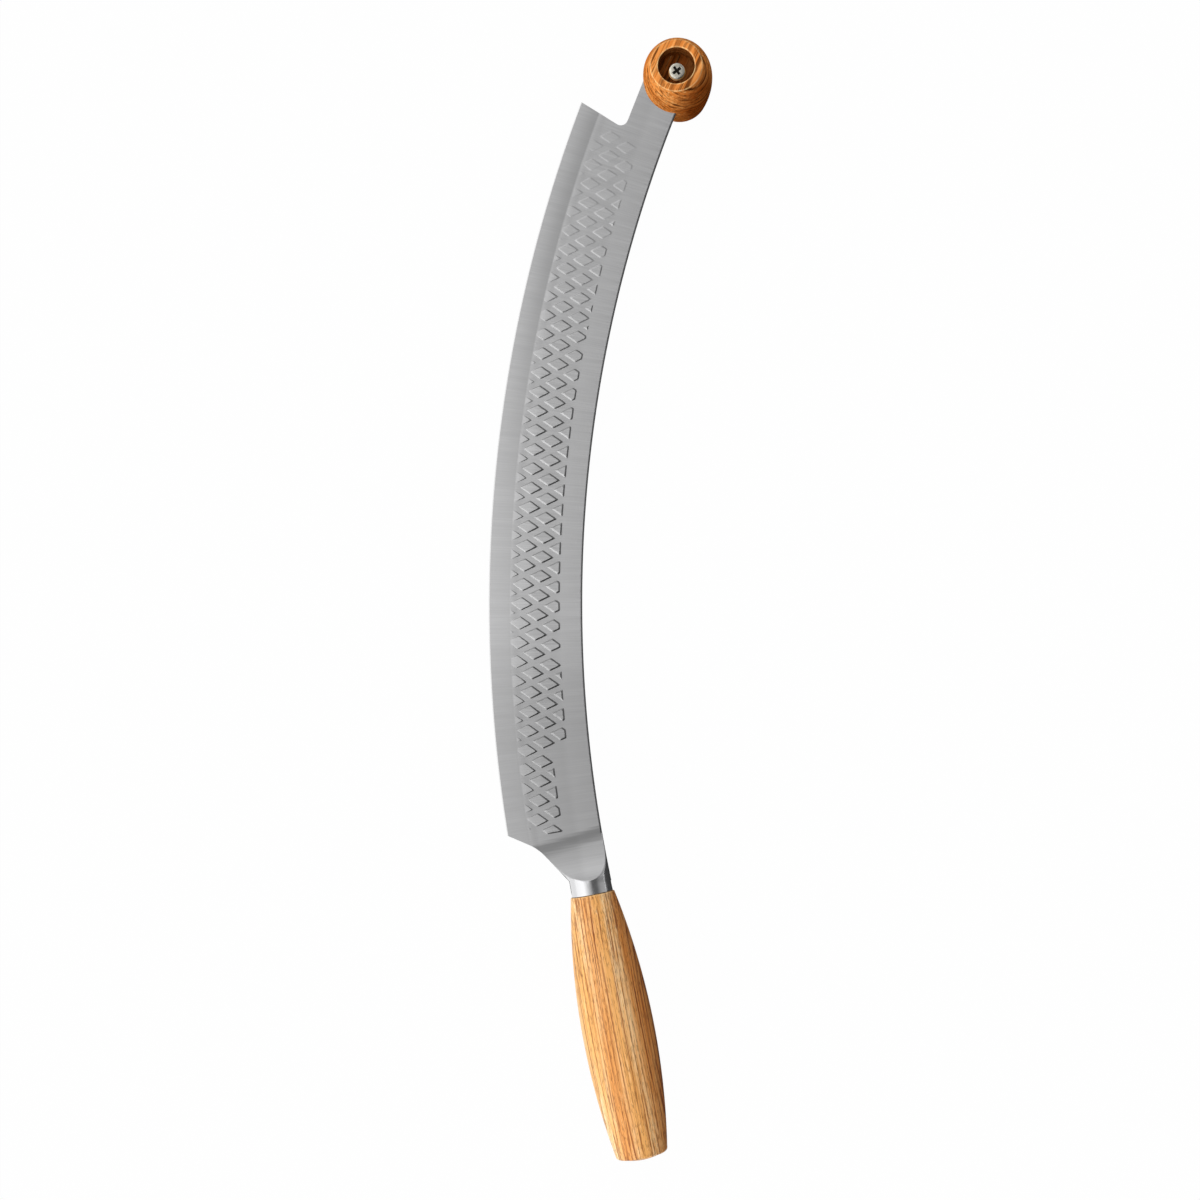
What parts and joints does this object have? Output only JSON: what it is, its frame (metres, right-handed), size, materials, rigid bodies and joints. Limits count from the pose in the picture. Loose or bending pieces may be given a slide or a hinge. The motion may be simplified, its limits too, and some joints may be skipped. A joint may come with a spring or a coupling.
{
  "type": "pizza knife",
  "caption": "Pizza knife with a long bowed steel blade in diamond relief, a polished bolster, a turned oak handle behind the heel and a turned oak knob on an arm past the tip.",
  "frame": {"origin": "under the middle of the knife's box, on the plane of the far face of the front knob", "axes": "+X along the handle from its butt towards the knob, +Y towards the cutting edge, +Z out of the face of the blade that shows the screw well"},
  "size_m": [0.45, 0.1434, 0.0492],
  "materials": {
    "blade_steel": "satin, brushed across the blade",
    "bolster_steel": "polished stainless steel",
    "handle_oak": "oiled oak, grain along the handle",
    "cured_adhesive": "cured epoxy, hidden",
    "knob_oak": "oiled oak, end grain on the faces",
    "washer_brass": "plain",
    "screw_nickel": "nickel plated"
  },
  "bodies": {
    "root": {"blade": "blade_steel", "bolster": "bolster_steel", "handle": "handle_oak", "tang_adhesive": "cured_adhesive", "front_knob": "knob_oak", "knob_washer": "washer_brass", "knob_screw": "screw_nickel"}
  },
  "joints": []
}
